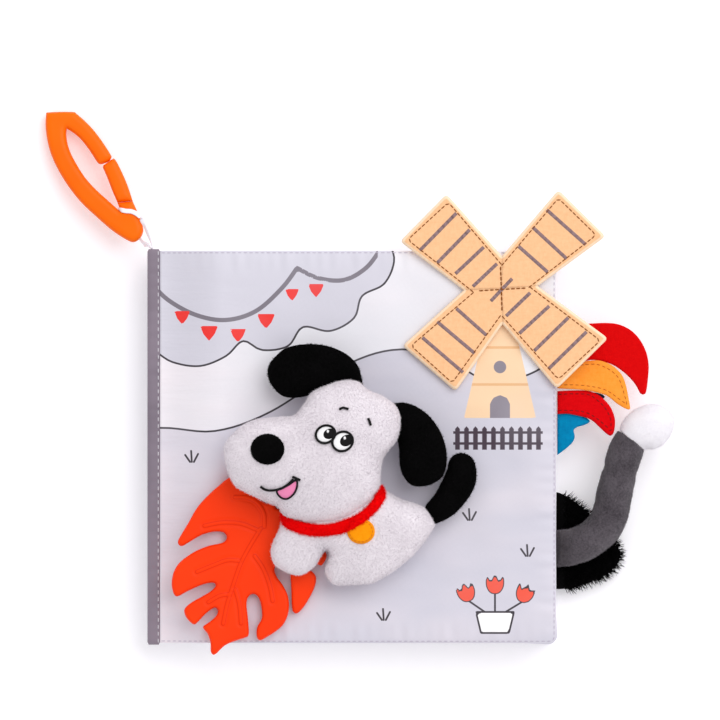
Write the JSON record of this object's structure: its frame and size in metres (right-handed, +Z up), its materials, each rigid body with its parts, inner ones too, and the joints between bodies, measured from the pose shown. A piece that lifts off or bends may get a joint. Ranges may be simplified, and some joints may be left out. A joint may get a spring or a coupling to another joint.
{
  "type": "crinkle cloth book",
  "caption": "Square padded cloth book with a clip on a ribbon, plush dog, leaf teether, felt sails, and feather, stuffed and furry tails sewn into the page edges.",
  "frame": {"origin": "middle of the flat underside of the closed book's back cover", "axes": "+Z up through the closed book, +X from the binding to the free page edges, +Y to the top of the pages"},
  "size_m": [0.2643, 0.2272, 0.0568],
  "materials": {
    "cover_cloth": "satin print",
    "lining_cloth": "plain weave",
    "page_cloth": "satin print",
    "batting": "loose fill",
    "crinkle_film": "thin film",
    "binding_cloth": "plain weave",
    "ribbon": "satin ribbon",
    "clip_plastic": "moulded",
    "teether_silicone": "soft silicone",
    "white_plush": "short pile",
    "black_plush": "short pile",
    "collar_fleece": "fleece",
    "tag_cloth": "felt",
    "squeaker_plastic": "moulded",
    "sail_felt": "felt",
    "red_felt": "felt",
    "orange_felt": "felt",
    "teal_felt": "felt",
    "navy_felt": "felt",
    "grey_plush": "short pile",
    "tip_plush": "short pile",
    "black_fur": "long pile"
  },
  "bodies": {
    "back_cover": {"back_cover_cloth": "cover_cloth", "back_cover_lining": "lining_cloth", "back_cover_batting": "batting", "back_cover_crinkle_film": "crinkle_film", "spine_binding": "binding_cloth", "spine_seam_bundle": "page_cloth"},
    "leaf_3": {"leaf_3_front_cloth": "page_cloth", "leaf_3_back_cloth": "page_cloth", "leaf_3_batting": "batting", "leaf_3_crinkle_film": "crinkle_film"},
    "leaf_2": {"leaf_2_front_cloth": "page_cloth", "leaf_2_back_cloth": "page_cloth", "leaf_2_batting": "batting", "leaf_2_crinkle_film": "crinkle_film"},
    "leaf_1": {"leaf_1_front_cloth": "page_cloth", "leaf_1_back_cloth": "page_cloth", "leaf_1_batting": "batting", "leaf_1_crinkle_film": "crinkle_film"},
    "front_cover": {"front_cover_cloth": "cover_cloth", "front_cover_lining": "lining_cloth", "front_cover_batting": "batting", "front_cover_crinkle_film": "crinkle_film", "dog_head": "white_plush", "dog_body": "white_plush", "dog_front_leg": "white_plush", "dog_hind_leg": "white_plush", "dog_nose": "black_plush", "dog_collar": "collar_fleece", "dog_collar_tag": "tag_cloth", "dog_squeaker": "squeaker_plastic", "teether_tie": "ribbon", "sail_hub": "sail_felt"},
    "clip": {"clip_ring": "clip_plastic", "clip_ribbon": "ribbon"},
    "clip_gate_arm": {"clip_gate": "clip_plastic"},
    "teether": {"leaf_teether": "teether_silicone"},
    "dog_left_ear_flap": {"dog_left_ear": "black_plush"},
    "dog_right_ear_flap": {"dog_right_ear": "black_plush"},
    "dog_tail_flap": {"dog_tail": "black_plush"},
    "sail_upper_right_blade": {"sail_upper_right": "sail_felt"},
    "sail_upper_left_blade": {"sail_upper_left": "sail_felt"},
    "sail_lower_left_blade": {"sail_lower_left": "sail_felt"},
    "sail_lower_right_blade": {"sail_lower_right": "sail_felt"},
    "rooster_tail": {"rooster_orange_feather": "orange_felt", "rooster_red_feather": "red_felt", "rooster_lower_red_feather": "red_felt", "rooster_navy_feather": "navy_felt", "rooster_teal_feather": "teal_felt"},
    "cat_tail_stuffed": {"cat_tail": "grey_plush", "cat_tail_tip": "tip_plush"},
    "furry_tail_flap": {"furry_tail": "black_fur"}
  },
  "joints": [
    {"name": "leaf_3_turn", "type": "hinge", "parent": "back_cover", "child": "leaf_3", "pos_m": [-0.08065, 0, 0.017], "axis": [0, 1, 0], "range_deg": [-40, 0]},
    {"name": "leaf_2_turn", "type": "hinge", "parent": "leaf_3", "child": "leaf_2", "pos_m": [-0.08065, 0, 0.017], "axis": [0, 1, 0], "range_deg": [-40, 0]},
    {"name": "leaf_1_turn", "type": "hinge", "parent": "leaf_2", "child": "leaf_1", "pos_m": [-0.08065, 0, 0.017], "axis": [0, 1, 0], "range_deg": [-70, 0]},
    {"name": "front_cover_open", "type": "hinge", "parent": "leaf_1", "child": "front_cover", "pos_m": [-0.08065, 0, 0.017], "axis": [0, -1, 0], "range_deg": [0, 150]},
    {"name": "clip_swing", "type": "hinge", "parent": "back_cover", "child": "clip", "pos_m": [-0.0846, 0.0841, 0.01555], "axis": [0.8434, 0.5373, 0], "range_deg": [0, 90]},
    {"name": "clip_gate_flex", "type": "hinge", "parent": "clip", "child": "clip_gate_arm", "pos_m": [-0.09218, 0.10371, 0.01253], "axis": [0.0778, -0.1221, -0.9895], "range_deg": [0, 12], "stiffness_Nm_per_rad": 0.02},
    {"name": "teether_swing", "type": "hinge", "parent": "front_cover", "child": "teether", "pos_m": [-0.0359, -0.0212, 0.0269], "axis": [0, 0, 1], "range_deg": [-25, 0]},
    {"name": "dog_left_ear_lift", "type": "hinge", "parent": "front_cover", "child": "dog_left_ear_flap", "pos_m": [-0.004, 0.0269, 0.0476], "axis": [0.9798, 0.2, 0], "range_deg": [0, 60]},
    {"name": "dog_right_ear_lift", "type": "hinge", "parent": "front_cover", "child": "dog_right_ear_flap", "pos_m": [0.0182, 0.0092, 0.0476], "axis": [0, -1, 0], "range_deg": [0, 60]},
    {"name": "dog_tail_lift", "type": "hinge", "parent": "front_cover", "child": "dog_tail_flap", "pos_m": [0.0323, -0.0286, 0.0401], "axis": [0.4907, -0.8713, 0], "range_deg": [0, 25]},
    {"name": "sail_upper_right_lift", "type": "hinge", "parent": "front_cover", "child": "sail_upper_right_blade", "pos_m": [0.06983, 0.07373, 0.0293], "axis": [0.7254, -0.6884, 0], "range_deg": [0, 50]},
    {"name": "sail_upper_left_lift", "type": "hinge", "parent": "front_cover", "child": "sail_upper_left_blade", "pos_m": [0.05456, 0.07333, 0.0293], "axis": [0.6884, 0.7254, 0], "range_deg": [0, 50]},
    {"name": "sail_lower_left_lift", "type": "hinge", "parent": "front_cover", "child": "sail_lower_left_blade", "pos_m": [0.05496, 0.05806, 0.0293], "axis": [-0.7254, 0.6884, 0], "range_deg": [0, 50]},
    {"name": "sail_lower_right_lift", "type": "hinge", "parent": "front_cover", "child": "sail_lower_right_blade", "pos_m": [0.07023, 0.05846, 0.0293], "axis": [-0.6884, -0.7254, 0], "range_deg": [0, 50]},
    {"name": "rooster_tail_flap", "type": "hinge", "parent": "leaf_1", "child": "rooster_tail", "pos_m": [0.086, 0.03651, 0.0183], "axis": [0, -1, 0], "range_deg": [-15, 15]},
    {"name": "cat_tail_lift", "type": "hinge", "parent": "leaf_2", "child": "cat_tail_stuffed", "pos_m": [0.0858, -0.0428, 0.01438], "axis": [0, -1, 0], "range_deg": [0, 30]},
    {"name": "furry_tail_droop", "type": "hinge", "parent": "leaf_3", "child": "furry_tail_flap", "pos_m": [0.0858, -0.0395, 0.0074], "axis": [0, -1, 0], "range_deg": [-7, 0]}
  ]
}
